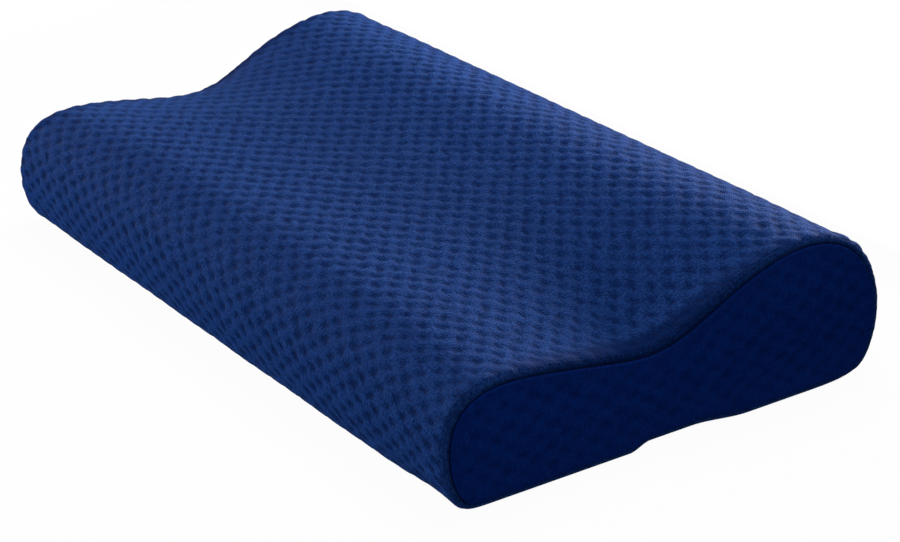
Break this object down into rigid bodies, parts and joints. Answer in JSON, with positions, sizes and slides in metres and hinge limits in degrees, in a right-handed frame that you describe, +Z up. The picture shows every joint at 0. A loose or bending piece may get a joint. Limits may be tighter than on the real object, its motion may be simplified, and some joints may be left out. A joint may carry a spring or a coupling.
{
  "type": "contour bed pillow",
  "caption": "Contour bed pillow: a moulded foam core with a low front lobe, neck cradle and high rear lobe, in a zipped bubble-knit cover with flat sewn end panels.",
  "frame": {"origin": "centre of the bounding box on the plane the pillow lies on, its underside at Z = 0", "axes": "+X along the pillow's length (the long side), +Y from the low front lobe to the high rear lobe, +Z up, through the thickness"},
  "size_m": [0.56, 0.3, 0.098],
  "materials": {
    "memory_foam": "matte",
    "liner_jersey": "matte",
    "cover_knit": "matte",
    "end_knit": "matte",
    "seam_thread": "matte",
    "zip_tape": "matte",
    "zip_coil": "satin",
    "zip_metal": "satin",
    "label_satin": "satin"
  },
  "bodies": {
    "pillow": {"foam_core": "memory_foam", "liner_body": "liner_jersey", "liner_end_left": "liner_jersey", "liner_end_right": "liner_jersey", "cover_main_panel": "cover_knit", "cover_end_left": "end_knit", "cover_end_right": "end_knit", "seam_thread_left": "seam_thread", "seam_thread_right": "seam_thread", "zip_tape_front": "zip_tape", "zip_tape_rear": "zip_tape", "zip_coil_front": "zip_coil", "zip_coil_rear": "zip_coil", "zip_top_stop_front": "zip_metal", "zip_top_stop_rear": "zip_metal", "zip_bottom_stop": "zip_metal", "zip_stitching": "seam_thread", "care_label": "label_satin"},
    "slider": {"zip_slider": "zip_metal"},
    "pull_tab": {"zip_pull_tab": "zip_metal"}
  },
  "joints": [
    {"name": "zip_slide", "type": "slide", "parent": "pillow", "child": "slider", "axis": [-1, 0, 0], "range_m": [0, 0.388]},
    {"name": "pull_tab_swing", "type": "hinge", "parent": "slider", "child": "pull_tab", "pos_m": [0.198, 0, 0.00375], "axis": [0, -1, 0], "range_deg": [0, 170]}
  ]
}
